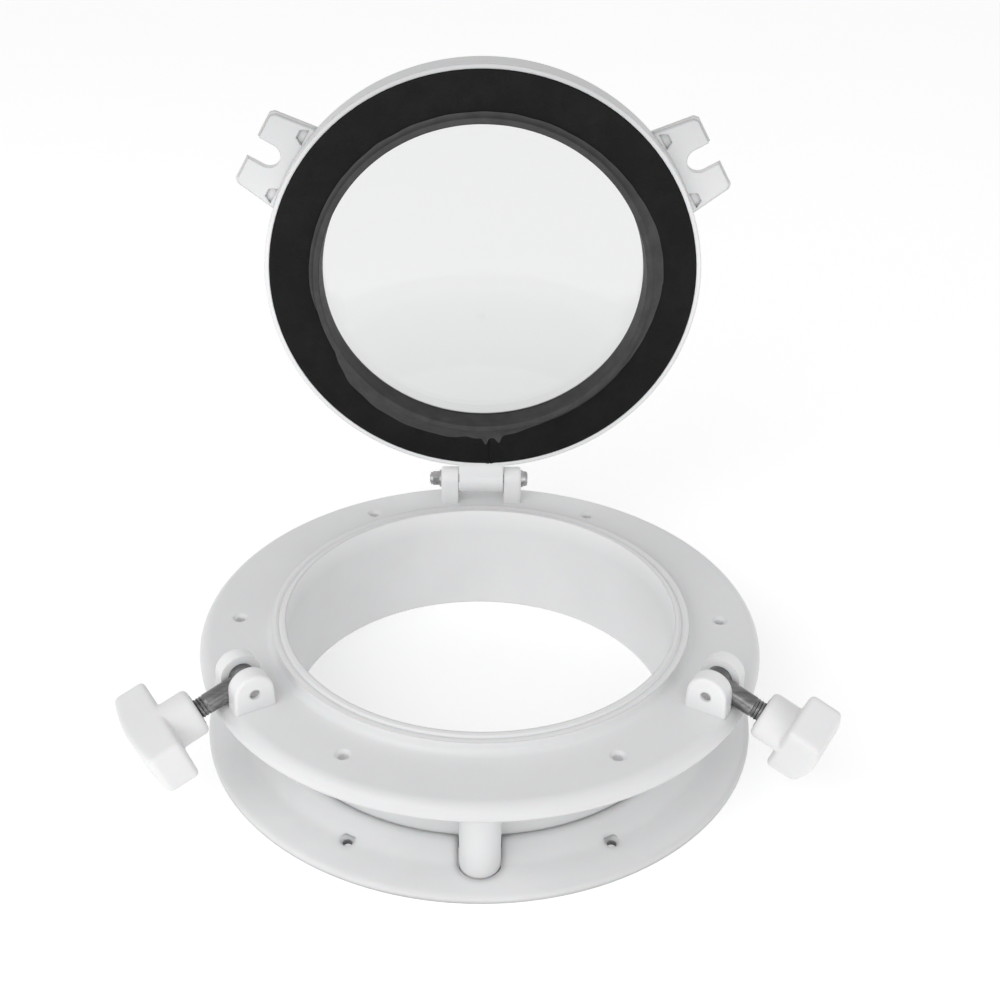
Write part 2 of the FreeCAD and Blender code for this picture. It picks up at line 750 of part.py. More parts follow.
def plain_cylinder(name, radius, start, length):
    """A cylinder along X from start, fixed by the fastener's standard sizes."""
    solid = doc.addObject("Part::Cylinder", name)
    solid.Radius = radius
    solid.Height = length
    solid.Placement = along_x(start)
    return solid


def drive_slot(name, start, width, height):
    """One bar of the cross recess in the head."""
    slot = doc.addObject("Part::Box", name)
    slot.Length, slot.Width, slot.Height = 2 * M5_DRIVE_DEPTH, width, height
    slot.Placement = Placement(Vector(start, -width / 2, -height / 2), Rotation())
    return slot


def hinge_bolt():
    """Pan head at +X, shank through both ears, tail past the nut at -X."""
    tail = seat_face() + M5_NUT + M5_TAIL
    shank = plain_cylinder("HingeShank", size("hinge_bolt_radius"), -tail,
                           seat_face() + tail + M5_HEAD / 2)
    head = plain_cylinder("HingeHead", M5_HEAD_RADIUS, seat_face(), M5_HEAD)
    doc.recompute()
    top = seat_face() + M5_HEAD
    dome = doc.addObject("Part::Fillet", "HingeHeadDome")
    dome.Base = head
    dome.Edges = [(end_edge(head.Shape, top), M5_HEAD_DOME, M5_HEAD_DOME)]
    blank = fused("HingeBoltBlank", [shank, dome])
    across = drive_slot("HingeDriveAcross", top - M5_DRIVE_DEPTH, M5_DRIVE_SLOT, M5_DRIVE_SPAN)
    upright = drive_slot("HingeDriveUpright", top - M5_DRIVE_DEPTH, M5_DRIVE_SPAN, M5_DRIVE_SLOT)
    bolt = cut_from("hinge_bolt", blank, fused("HingeDrive", [across, upright]))
    bolt.Placement = hinge_place()
    return bolt


def end_edge(shape, reach):
    """Number of the round edge whose centre is at this distance along X."""
    for number, edge in enumerate(shape.Edges, start=1):
        if isinstance(edge.Curve, Part.Circle) and abs(edge.Curve.Center.x - reach) < 0.01:
            return number
    raise RuntimeError("no edge at %.2f" % reach)


def hinge_nut():
    """A hexagon nut with a round locking collar."""
    start = -(seat_face() + M5_NUT)
    prism = doc.addObject("Part::Prism", "NutPrism")
    prism.Polygon = 6
    prism.Circumradius = M5_NUT_FLATS / math.sqrt(3)
    prism.Height = M5_NUT - M5_COLLAR
    prism.Placement = along_x(start + M5_COLLAR)
    collar = plain_cylinder("NutCollar", M5_COLLAR_RADIUS, start, M5_COLLAR + 0.2)
    blank = fused("NutBlank", [prism, collar])
    bore = plain_cylinder("NutBore", size("hinge_bolt_radius") + 0.02, start - 1, M5_NUT + 2)
    nut = cut_from("hinge_nut", blank, bore)
    nut.Placement = hinge_place()
    return nut


def hinge_washer(side, start):
    disc = plain_cylinder("HingeWasherDisc" + side, M5_WASHER_RADIUS, start, M5_WASHER)
    bore = plain_cylinder("HingeWasherBore" + side, M5_WASHER_BORE, start - 1, M5_WASHER + 2)
    washer = cut_from("hinge_washer_" + side, disc, bore)
    washer.Placement = hinge_place()
    return washer


# ---------------------------------------------------------------------------------------------
# Dogs: pin, swing bolt, washer, insert and knob, in the dog's own frame
# ---------------------------------------------------------------------------------------------
def dog_pin(side, azimuth):
    half = "( clevis_gap / 2 + clevis_ear_thickness - pin_recess )"
    rod = cylinder("dog_pin_" + side, "dog_pin_radius", "2 * " + half)
    rod.Placement = dog_place(azimuth) * along_y(-worth(half))
    return rod


def bolt_neck(side):
    """The bolt's first stretch: round, with a flat on each side as wide as the eye."""
    rod = cylinder("NeckRod" + side, "bolt_radius", "neck_length", along_x(0))
    flats = doc.addObject("Part::Box", "NeckFlats" + side)
    bind(flats, "Length", "neck_length")
    bind(flats, "Width", "eye_width")
    bind(flats, "Height", "2 * bolt_radius")
    corner = Vector(0, -size("eye_width") / 2, -size("bolt_radius"))
    flats.Placement = Placement(corner, Rotation())
    neck = doc.addObject("Part::Common", "Neck" + side)
    neck.Base = rod
    neck.Tool = flats
    return neck


def swing_bolt(side, azimuth):
    """A flat eye and neck on the pin, then a round shank with a bevelled end."""
    width = size("eye_width")
    eye = cylinder("Eye" + side, "eye_radius", "eye_width", along_y(-width / 2))
    shank = cylinder("Shank" + side, "bolt_radius", "bolt_length - neck_length",
                     along_x(size("neck_length")))
    doc.recompute()
    reach = size("bolt_bevel")
    bevel = doc.addObject("Part::Chamfer", "ShankBevel" + side)
    bevel.Base = shank
    bevel.Edges = [(end_edge(shank.Shape, size("bolt_length")), reach, reach)]
    blank = fused("BoltBlank" + side, [eye, bolt_neck(side), bevel])
    hole = cylinder("EyeHole" + side, "eye_hole_radius", "2 * eye_width", along_y(-width))
    bolt = cut_from("swing_bolt_" + side, blank, hole)
    bolt.Placement = dog_place(azimuth)
    return bolt


def knob_washer(side, azimuth, roll):
    start = size("hub_start") - size("washer_proud")
    disc = cylinder("WasherDisc" + side, "washer_radius", "washer_thickness", along_x(start))
    bore = cylinder("WasherBore" + side, "washer_bore_radius", "3 * washer_thickness",
                    along_x(start - size("washer_thickness")))
    washer = cut_from("knob_washer_" + side, disc, bore)
    washer.Placement = dog_place(azimuth, roll)
    return washer


def knob_insert(side, azimuth, roll):
    start = size("hub_start") + size("washer_recess")
    sleeve = cylinder("InsertSleeve" + side, "insert_radius", "insert_length", along_x(start))
    bore = cylinder("InsertBore" + side, "insert_bore_radius", "2 * insert_length",
                    along_x(start - size("insert_length") / 2))
    insert = cut_from("knob_insert_" + side, sleeve, bore)
    insert.Placement = dog_place(azimuth, roll)
    return insert


def knob_bar(side):
    """The grip across the hub's end: a block with a crowned outer face and round edges."""
    start = size("hub_start") + size("hub_length")
    block = doc.addObject("Part::Box", "BarBlock" + side)
    bind(block, "Length", "bar_thickness + bar_crown")
    bind(block, "Width", "bar_length")
    bind(block, "Height", "bar_width")
    corner = Vector(start, -size("bar_length") / 2, -size("bar_width") / 2)
    block.Placement = Placement(corner, Rotation())
    crown = size("bar_crown")
    sweep = ((size("bar_length") / 2) ** 2 + crown ** 2) / (2 * crown)
    outer = start + size("bar_thickness") + crown
    dome = doc.addObject("Part::Cylinder", "BarDome" + side)
    dome.Radius = sweep
    dome.Height = 2 * size("bar_width")
    dome.Placement = Placement(Vector(outer - sweep, 0, -size("bar_width")), Rotation())
    crowned = doc.addObject("Part::Common", "BarCrowned" + side)
    crowned.Base = block
    crowned.Tool = dome
    doc.recompute()
    radius = size("bar_round")
    rounded = doc.addObject("Part::Fillet", "BarRounded" + side)
    rounded.Base = crowned
    rounded.Edges = [(number, radius, radius)
                     for number in range(1, len(crowned.Shape.Edges) + 1)]
    return rounded


def knob(side, azimuth, roll):
    face = size("hub_start")
    hub = cylinder("Hub" + side, "hub_radius", "hub_length + bar_round", along_x(face))
    blank = fused("KnobBlank" + side, [hub, knob_bar(side)])
    recess = cylinder("Recess" + side, "washer_recess_radius", "2 * washer_recess",
                      along_x(face - size("washer_recess")))
    seat = cylinder("Seat" + side, "insert_seat_radius", "washer_recess + insert_length",
                    along_x(face))
    bore = cylinder("Bore" + side, "knob_bore_radius", "knob_bore_depth", along_x(face))
    hollow = fused("KnobHollow" + side, [recess, seat, bore])
    piece = cut_from("knob_" + side, blank, hollow)
    piece.Placement = dog_place(azimuth, roll)
    return piece


# ---------------------------------------------------------------------------------------------
# The whole object
# ---------------------------------------------------------------------------------------------
def opened(piece):
    """Turn a closed lid piece open about the hinge axis."""
    hinge = Vector(0, size("hinge_radius"), size("hinge_height"))
    piece.Placement = turn_about(hinge, X_AXIS, -size("open_angle"))
    return piece


def build_all():
    pieces = [frame_moulding(), trim_ring()]
    for make in (lid_ring, lid_pane, pane_seal, pane_retainer, lid_gasket):
        pieces.append(opened(make()))
    face = ear_face() + WASHER_GAP
    pieces.append(hinge_bolt())
    pieces.append(hinge_nut())
    pieces.append(hinge_washer("right", face))
    pieces.append(hinge_washer("left", -face - M5_WASHER))
    for side, azimuth in DOGS.items():
        roll = KNOB_ROLLS[side]
        pieces.append(dog_pin(side, azimuth))
        pieces.append(swing_bolt(side, azimuth))
        pieces.append(knob_washer(side, azimuth, roll))
        pieces.append(knob_insert(side, azimuth, roll))
        pieces.append(knob(side, azimuth, roll))
    return pieces


def check_and_write(pieces):
    doc.recompute()
    for thing in doc.Objects:
        if "Invalid" in thing.State or "Error" in thing.State:
            raise RuntimeError("%s: %s" % (thing.Name, thing.State))
    for piece in pieces:
        shape = piece.Shape
        if shape.isNull() or not shape.isValid():
            raise RuntimeError(piece.Label + " has no valid shape")
        shape.exportStep("parts/%s.step" % piece.Label)
        print("%-20s %9.1f mm3  %d solid" % (piece.Label, shape.Volume, len(shape.Solids)))


check_and_write(build_all())
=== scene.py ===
"""Visual model of the round opening portlight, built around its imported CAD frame."""
import json
import math

import bmesh
import bpy
from mathutils import Matrix, Vector, noise


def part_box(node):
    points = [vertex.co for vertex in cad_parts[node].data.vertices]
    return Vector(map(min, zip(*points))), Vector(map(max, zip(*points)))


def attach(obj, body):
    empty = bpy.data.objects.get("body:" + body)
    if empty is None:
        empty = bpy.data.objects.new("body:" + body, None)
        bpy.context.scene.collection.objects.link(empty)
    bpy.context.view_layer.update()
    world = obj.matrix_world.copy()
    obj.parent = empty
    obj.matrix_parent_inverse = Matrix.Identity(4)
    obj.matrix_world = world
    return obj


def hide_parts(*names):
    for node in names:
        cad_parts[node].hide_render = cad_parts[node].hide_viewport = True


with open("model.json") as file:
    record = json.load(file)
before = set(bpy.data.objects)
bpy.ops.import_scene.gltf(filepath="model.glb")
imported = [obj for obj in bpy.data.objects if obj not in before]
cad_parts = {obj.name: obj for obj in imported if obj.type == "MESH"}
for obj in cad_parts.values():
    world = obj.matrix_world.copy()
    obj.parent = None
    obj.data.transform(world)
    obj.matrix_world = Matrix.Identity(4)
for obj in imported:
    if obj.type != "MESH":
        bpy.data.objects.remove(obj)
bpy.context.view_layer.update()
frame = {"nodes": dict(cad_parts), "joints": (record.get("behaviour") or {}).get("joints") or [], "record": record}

NODES = frame["nodes"]
JOINTS = {joint["name"]: joint for joint in frame["joints"]}
SLOTS = {entry["node"]: entry["material_slot"] for entry in frame["record"]["subparts"]}
BODIES = {node: body
          for body, members in frame["record"]["behaviour"]["bodies"].items()
          for node in members}
SIDES = ("left", "right")
MM = 0.001


# ---------------------------------------------------------------------------------------------
# Node materials
# ---------------------------------------------------------------------------------------------
class Material:
    """A node material with a Principled shader, and short calls for its usual nodes."""

    def __init__(self, name):
        self.made = bpy.data.materials.new(name)
        self.made.use_nodes = True
        self.tree = self.made.node_tree
        self.shader = self.tree.nodes["Principled BSDF"]

    def node(self, kind, **values):
        node = self.tree.nodes.new(kind)
        for key, value in values.items():
            node.inputs[key.replace("_", " ")].default_value = value
        return node

    def link(self, output, socket):
        self.tree.links.new(output, socket)

    def set(self, **values):
        for key, value in values.items():
            self.shader.inputs[key.replace("_", " ")].default_value = value

    def coords(self, stretch=(1, 1, 1)):
        """Object coordinates, in metres, stretched along each axis."""
        mapping = self.node("ShaderNodeMapping", Scale=stretch)
        self.link(self.tree.nodes.new("ShaderNodeTexCoord").outputs["Object"],
                  mapping.inputs["Vector"])
        return mapping.outputs["Vector"]

    def noise(self, scale, detail=3.0, roughness=0.5, stretch=(1, 1, 1)):
        node = self.node("ShaderNodeTexNoise", Scale=scale, Detail=detail, Roughness=roughness)
        self.link(self.coords(stretch), node.inputs["Vector"])
        return node.outputs["Fac"]

    def specks(self, scale):
        node = self.node("ShaderNodeTexVoronoi", Scale=scale)
        self.link(self.coords(), node.inputs["Vector"])
        return node.outputs["Distance"]

    def remap(self, factor, start, end, low, high):
        node = self.node("ShaderNodeMapRange", From_Min=start, From_Max=end,
                         To_Min=low, To_Max=high)
        self.link(factor, node.inputs["Value"])
        return node.outputs["Result"]

    def blend(self, factor, first, second):
        """A colour between two, each a colour or another node's output."""
        node = self.tree.nodes.new("ShaderNodeMix")
        node.data_type = "RGBA"
        self.link(factor, node.inputs["Factor"])
        for socket, colour in ((node.inputs["A"], first), (node.inputs["B"], second)):
            self.fill(socket, colour)
        return node.outputs["Result"]

    def fill(self, socket, colour):
        if isinstance(colour, tuple):
            socket.default_value = colour
        else:
            self.link(colour, socket)

    def crevices(self, reach):
        """1 on open surfaces, towards 0 in corners narrower than reach."""
        node = self.node("ShaderNodeAmbientOcclusion", Distance=reach)
        node.samples = 6
        return node.outputs["AO"]

    def along(self, axis, start, end):
        """0 to 1 as the object coordinate on an axis goes from start to end, in metres."""
        split = self.tree.nodes.new("ShaderNodeSeparateXYZ")
        self.link(self.coords(), split.inputs["Vector"])
        return self.remap(split.outputs[axis], start, end, 0.0, 1.0)

    def soft_edges(self, radius):
        """Normals eased over the edges and inner corners."""
        node = self.node("ShaderNodeBevel", Radius=radius)
        node.samples = 4
        return node.outputs["Normal"]

    def bump(self, height, strength, depth, base=None):
        node = self.node("ShaderNodeBump", Strength=strength, Distance=depth)
        self.link(height, node.inputs["Height"])
        if base:
            self.link(base, node.inputs["Normal"])
        self.link(node.outputs["Normal"], self.shader.inputs["Normal"])

    def paint(self, colour):
        self.link(colour, self.shader.inputs["Base Color"])

    def roughen(self, factor, low, high):
        self.link(self.remap(factor, 0.3, 0.7, low, high), self.shader.inputs["Roughness"])


COOL, BLUISH, WARM = (0.005, 0.010), (0.0, 0.005), (0.0, -0.005)


def grey(value, green=0.0, blue=0.0):
    """A grey colour, with a little more or less green and blue."""
    return (value, value + green, value + blue, 1.0)


def moulded_plastic(name, dull, clean, corner_shading, rough, height_shading=None, reach=2.5 * MM, soft=1.3 * MM):
    """Injection-moulded white plastic: faint clouds where the plastic flowed, fine grain, and painted
    shading in its corners and by height.

    The height shading gives two heights and the colour painted at the second: painted light
    where it is paler than the plastic, painted shade where it is darker. The corner shading is
    the colour painted within reach of a corner, and edges are eased over soft. A corner colour
    paler than the rest is painted light, for light that comes through the white frame; a
    darker one is painted shade.
    """
    material = Material(name)
    clouds = material.remap(material.noise(14.0, 4.0), 0.35, 0.65, 0.0, 1.0)
    flow_and_shading = material.blend(clouds, dull, clean)
    # Painted shading by height: the plastic is blended towards the given colour between the two heights, painted
    # light where that colour is paler and painted shade where it is darker.
    if height_shading:
        start, end, top_shading = height_shading
        flow_and_shading = material.blend(material.along("Z", start, end), flow_and_shading, top_shading)
    # Painted shading in corners: the given colour within reach of a corner, painted shade where it is darker than
    # the plastic and painted light where it is paler.
    unshaded_surface = material.remap(material.crevices(reach), 0.1, 0.7, 0.0, 1.0)
    material.paint(material.blend(unshaded_surface, corner_shading, flow_and_shading))
    grain = material.noise(1400.0, 2.0, 0.6)
    material.roughen(grain, rough - 0.05, rough + 0.06)
    material.bump(grain, 0.12, 0.05 * MM, material.soft_edges(soft))
    material.set(IOR=1.5, Subsurface_Weight=0.12, Subsurface_Scale=1.5 * MM)
    return material


def gasket_rubber():
    """Closed-cell rubber: nearly black, with pale dust and a fine pitted skin."""
    material = Material("GasketRubber")
    dust = material.remap(material.noise(60.0, 5.0, 0.65), 0.42, 0.74, 0.0, 1.0)
    skin = material.blend(dust, grey(0.007), grey(0.0115))
    # Painted shade: the rubber is painted darker still within reach of a corner.
    unshaded_surface = material.remap(material.crevices(1.6 * MM), 0.2, 0.8, 0.0, 1.0)
    material.paint(material.blend(unshaded_surface, grey(0.004), skin))
    pits = material.specks(1500.0)
    material.roughen(pits, 0.62, 0.75)
    material.bump(pits, 0.35, 0.08 * MM)
    material.set(Specular_IOR_Level=0.16)
    return material


def retainer_plastic(name, dark, light, rough):
    """Dark grey plastic or sealant with soft smears."""
    material = Material(name)
    smears = material.remap(material.noise(120.0, 5.0, 0.6), 0.35, 0.68, 0.0, 1.0)
    tone = material.blend(smears, dark, light)
    # Painted shade: the plastic is painted nearly black within reach of a corner.
    unshaded_surface = material.remap(material.crevices(3 * MM), 0.2, 0.8, 0.0, 1.0)
    material.paint(material.blend(unshaded_surface, grey(0.025), tone))
    fine = material.noise(800.0, 3.0, 0.6)
    material.roughen(fine, rough - 0.06, rough + 0.08)
    material.bump(fine, 0.25, 0.08 * MM)
    material.set(Specular_IOR_Level=0.25)
    return material


def brushed_steel(name, dark, light, rough, stretch):
    """Metal with fine turning marks across stretch's short side, and light and dark blotches: dull blotches of its
    own, which stretch draws out into painted reflection streaks along the bolts.
    """
    material = Material(name)
    material.set(Metallic=1.0)
    # Light and dark blotches: dull blotches of the metal, and where stretched along a bolt, painted reflection
    # streaks.
    patches_and_reflection_streaks = material.remap(material.noise(260.0, 4.0, 0.5, stretch), 0.35, 0.7, 0.0, 1.0)
    material.paint(material.blend(patches_and_reflection_streaks, dark, light))
    marks = material.noise(1200.0, 3.0, 0.6, stretch)
    material.roughen(marks, rough - 0.07, rough + 0.1)
    material.bump(marks, 0.1, 0.02 * MM)
    return material


def pane_acrylic(low, high):
    """Clear acrylic between two heights, greyer towards its lower edge as painted shade, with a breath of haze."""
    material = Material("PaneAcrylic")
    material.set(Transmission_Weight=1.0, IOR=1.49)
    # Painted shade: the pane is painted greyer over its lower part.
    height = material.along("Z", low, low + 0.45 * (high - low))
    material.paint(material.blend(height, (0.725, 0.73, 0.73, 1), (0.84, 0.845, 0.845, 1)))
    haze = material.noise(30.0, 4.0)
    material.link(material.remap(haze, 0.3, 0.7, 0.0, 0.05), material.shader.inputs["Roughness"])
    return material


pane_low, pane_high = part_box("lid_pane")
# The frame: painted light in its corners, for light through the white plastic, and painted light towards the top,
# paler from 49 to 67 mm up.
WHITE = moulded_plastic(
    "WhiteMoulding", grey(0.71, *COOL), grey(0.75, *COOL), corner_shading=grey(0.88, *WARM), rough=0.38,
    height_shading=(49 * MM, 67 * MM, grey(0.87, *COOL)))
# The trim ring: a paler copy of the frame's white, painted light, and painted nearly black within 8 mm of a
# corner, painted shade.
RING_WHITE = moulded_plastic(
    "RingMoulding", grey(0.81, *COOL), grey(0.86, *COOL), corner_shading=grey(0.10), rough=0.38,
    reach=8 * MM, soft=6 * MM)
# The lid ring: a paler copy of the frame's white, painted light, with painted shade towards its top and in its
# corners.
LID_WHITE = moulded_plastic(
    "LidMoulding", grey(0.83, *COOL), grey(0.88, *COOL), corner_shading=grey(0.40, *WARM), rough=0.38,
    height_shading=(0.4 * pane_low[2] + 0.6 * pane_high[2], pane_high[2] + 10 * MM, grey(0.60, *COOL)))
# The knobs: painted darker in their corners, painted shade.
KNOB_WHITE = moulded_plastic(
    "KnobMoulding", grey(0.79, *BLUISH), grey(0.83, *BLUISH), corner_shading=grey(0.50, *WARM), rough=0.44)
RUBBER = gasket_rubber()
RETAINER = retainer_plastic("RetainerPlastic", grey(0.045), grey(0.062), 0.5)
PANE = pane_acrylic(pane_low[2], pane_high[2])
STAINLESS = brushed_steel("Stainless", grey(0.42), grey(0.6), 0.3, (1, 1, 1))
# The bolts' steel: its light and dark blotches are drawn out along the bolts as painted reflection streaks.
BOLT_STEEL = brushed_steel("BoltSteel", grey(0.16), grey(0.32), 0.22, (0.15, 1, 1))

SURFACES = {
    "white_moulding": WHITE, "white_knob": KNOB_WHITE, "black_rubber": RUBBER,
    "grey_retainer": RETAINER, "clear_pane": PANE, "stainless": STAINLESS,
    "bolt_steel": BOLT_STEEL,
}
# The trim ring and the lid ring take their own lit and shaded copies of the white moulding.
SHADED_COPIES = {"trim_ring": RING_WHITE, "lid_ring": LID_WHITE}


# ---------------------------------------------------------------------------------------------
# Places of the moving pieces, and sizes read from the CAD
# ---------------------------------------------------------------------------------------------
def lid_place():
    """From the closed lid, centred on the opening's axis, to the lid as it stands at rest."""
    joint = JOINTS["lid_hinge"]
    pivot = Vector(joint["pos_m"])
    turn = Matrix.Rotation(-math.radians(joint["range_deg"][0]), 4, Vector(joint["axis"]))
    return Matrix.Translation(pivot) @ turn @ Matrix.Translation(-pivot)


KNOB_ROLLS = {"left": 0.0, "right": -60.0}


def dog_place(side, roll=0.0):
    """From a dog's own frame, bolt along X and pin along Y, to its hanging place."""
    swing = JOINTS["dog_%s_swing" % side]
    along = Vector(JOINTS["knob_%s_turn" % side]["axis"])
    across = -Vector(swing["axis"])
    turn = Matrix((along, across, along.cross(across))).transposed().to_4x4()
    spin = Matrix.Rotation(math.radians(roll), 4, "X")
    return Matrix.Translation(Vector(swing["pos_m"])) @ turn @ spin


def local_points(node, place):
    back = place.inverted()
    return [back @ vertex.co for vertex in NODES[node].data.vertices]


def local_box(node, place):
    """Lowest and highest corner of a CAD node in a place's own frame."""
    points = local_points(node, place)
    low = Vector([min(point[k] for point in points) for k in range(3)])
    high = Vector([max(point[k] for point in points) for k in range(3)])
    return low, high


def radii(node, place):
    """Smallest and largest distance of a CAD node's vertices from a place's Z axis."""
    distances = [math.hypot(point.x, point.y) for point in local_points(node, place)]
    return min(distances), max(distances)


# ---------------------------------------------------------------------------------------------
# Mesh building
# ---------------------------------------------------------------------------------------------
def make_piece(name, mesh, material):
    piece = bpy.data.objects.new(name, mesh)
    bpy.context.scene.collection.objects.link(piece)
    mesh.materials.clear()
    mesh.materials.append(material.made)
    return piece


def closed_grid(name, rings, wrap):
    """A mesh through rings of points: wrap joins last to first, else flat caps close it."""
    count = len(rings[0])
    points = [point for ring in rings for point in ring]
    faces = []
    for row in range(len(rings) if wrap else len(rings) - 1):
        here, there = row * count, (row + 1) % len(rings) * count
        for k in range(count):
            after = (k + 1) % count
            faces.append((here + k, here + after, there + after, there + k))
    if not wrap:
        faces.append(tuple(range(count)))
        faces.append(tuple(range(len(points) - count, len(points))))
    mesh = bpy.data.meshes.new(name)
    mesh.from_pydata(points, [], faces)
    tidy_normals(mesh)
    return mesh


def tidy_normals(mesh):
    work = bmesh.new()
    work.from_mesh(mesh)
    bmesh.ops.recalc_face_normals(work, faces=work.faces)
    work.to_mesh(mesh)
    work.free()


def smooth(mesh, sharp=35.0):
    mesh.shade_smooth()
    mesh.set_sharp_from_angle(angle=math.radians(sharp))


def apply_modifiers(piece):
    """Keep what the piece's modifiers make as its own mesh."""
    depsgraph = bpy.context.evaluated_depsgraph_get()
    piece.data = bpy.data.meshes.new_from_object(piece.evaluated_get(depsgraph))
    piece.modifiers.clear()


def combine(piece, tool, operation):
    """Join a tool to the piece, or cut it away."""
    modifier = piece.modifiers.new("Combine", "BOOLEAN")
    modifier.operation = operation
    modifier.solver = "EXACT"
    modifier.object = tool
    apply_modifiers(piece)
    bpy.data.objects.remove(tool)


def corner(middle, radius, start, end, steps=4):
    """Points of an arc in a section, angles in degrees."""
    angles = [math.radians(start + (end - start) * k / steps) for k in range(steps + 1)]
    return [(middle[0] + radius * math.cos(a), middle[1] + radius * math.sin(a)) for a in angles]


def turned(name, section, angles, change=None):
    """A ring: a closed section of radius and height turned about Z through the angles.

    change(angle, radius, height) may move each point.
    """
    rings = []
    for angle in angles:
        ring = []
        for radius, height in section:
            if change:
                radius, height = change(angle, radius, height)
            ring.append((radius * math.cos(angle), radius * math.sin(angle), height))
        rings.append(ring)
    return closed_grid(name, rings, wrap=True)


def even_turn(steps):
    return [2 * math.pi * k / steps for k in range(steps)]


def ride_with(piece, node, replace=True):
    """Let a piece ride with a CAD node's body, and stand for it."""
    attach(piece, BODIES[node])
    if replace:
        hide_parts(node)


# ---------------------------------------------------------------------------------------------
# Gasket and pane retainer, built as on the closed lid: heights grow from the gasket's face
# ---------------------------------------------------------------------------------------------
LID = lid_place()

# The retainer's skirt meets the gasket on a circle with a few swells, each a middle, a half
# width in degrees round the closed lid, and a rise in millimetres. The gasket's hole is cut
# wide on the right, sealant was pressed out beside the hinge, and the gasket laps the retainer
# at the lower left. Beads of sealant, with a dent between, stand where the gasket's ends meet.
SKIRT_RADIUS = 92.1
WIDE_SIDE = (-8.0, 26.0, 3.6)
PRESSED_OUT = (112.0, 34.0, 5.0)
LAPPED_OVER = (160.0, 10.0, -3.2)
BEADS = ((88.7, 0.9, 4.2), (84.3, 1.0, 3.8), (95.0, 2.5, -1.6))
SEAM = 87.6
CLOSE_START, CLOSE_END = 78.0, 98.0

# The skirt's slope stays inside the frame's opening, so that the lid closes; only its thin
# edge, on the gasket's face, goes further out.
SLOPE_LIMIT = 96.8 * MM
SLOPE_END = 0.3 * MM
SKIRT_STEPS = 4
SKIRT_SAG = 0.5 * MM
SKIRT_LIFT = 0.12 * MM
CREST_WIDTH = 2.6 * MM
CREST_ROUND = 0.8 * MM
FOOT_OVERHANG = 0.8 * MM
FOOT_SETBACK = 2 * MM
FOOT_START = 2.5 * MM

GASKET_ROUND = 1.0 * MM
GASKET_TUCK = 0.5 * MM
GASKET_STRIPS = 8
SEAM_WIDTH, SEAM_DEPTH = 0.45 * MM, 0.5 * MM
SEAM_BULGE_WIDTH, SEAM_BULGE = 2.0 * MM, 0.8 * MM

# Height and closeness, in waves a metre, of the two surfaces' unevenness.
GASKET_WAVES = (0.10 * MM, 90.0)
RETAINER_WAVES = (0.14 * MM, 130.0)


def swell(degrees, middle, half_width, rise, power=2):
    """The rise at an angle of a bump on a ring, flatter on top the higher its power."""
    away = (degrees - middle + 180.0) % 360.0 - 180.0
    return rise * math.exp(-abs(away / half_width) ** power)


def skirt_radius(angle):
    """The skirt's edge at an angle, with small lobes that grow where sealant was pressed out."""
    degrees = math.degrees(angle) % 360.0
    pressed = swell(degrees, *PRESSED_OUT, power=4)
    lobes = noise.noise(Vector((degrees * 0.16, 3.1, 0.0))) * (0.35 + 0.3 * pressed)
    bumps = sum(swell(degrees, *bump) for bump in (WIDE_SIDE, LAPPED_OVER, *BEADS))
    return (SKIRT_RADIUS + pressed + bumps + lobes) * MM


def bell(distance, width):
    """1 at no distance, falling smoothly towards 0 past the width."""
    return math.exp(-(distance / width) ** 2)


def waves(angle, radius, height, closeness):
    """A small unevenness at a place on the lid, from 0 to twice the height."""
    spot = Vector((math.cos(angle), math.sin(angle), 0)) * radius
    return height * (1 + noise.noise(spot * closeness))


def ring_angles(steps=540, close=160):
    """Even steps round the lid, with closer ones beside the gasket's seam."""
    start, end = math.radians(CLOSE_START), math.radians(CLOSE_END)
    margin = math.pi / steps
    near = [start + (end - start) * k / close for k in range(close + 1)]
    far = [a for a in even_turn(steps) if not start - margin < a < end + margin]
    return sorted(far + near)


def make_gasket():
    inner, outer = radii("lid_gasket", LID)
    low, high = local_box("lid_gasket", LID)
    face, back = low.z, high.z
    turn, seam = GASKET_ROUND, math.radians(SEAM)
    section = corner((inner + turn, face + turn), turn, 180, 270)
    section += [(inner + (outer - inner) * k / GASKET_STRIPS, face)
                for k in range(1, GASKET_STRIPS)]
    section += corner((outer - turn, face + turn), turn, 270, 360)
    section += [(outer, back), (inner, back)]

    def lie(angle, radius, height):
        edge = skirt_radius(angle) - GASKET_TUCK
        share = (radius - inner) / (outer - inner)
        radius = edge + (outer - edge) * share
        if height < back - turn:
            height += waves(angle, radius, *GASKET_WAVES)
            from_seam = (angle - seam) * radius
            height += SEAM_DEPTH * bell(from_seam, SEAM_WIDTH)
            radius += SEAM_BULGE * bell(from_seam, SEAM_BULGE_WIDTH) * share ** 4
        return radius, height

    mesh = turned("GasketRing", section, ring_angles(), lie)
    smooth(mesh, 50)
    mesh.transform(LID)
    ride_with(make_piece("GasketRing", mesh, RUBBER), "lid_gasket")
    return face


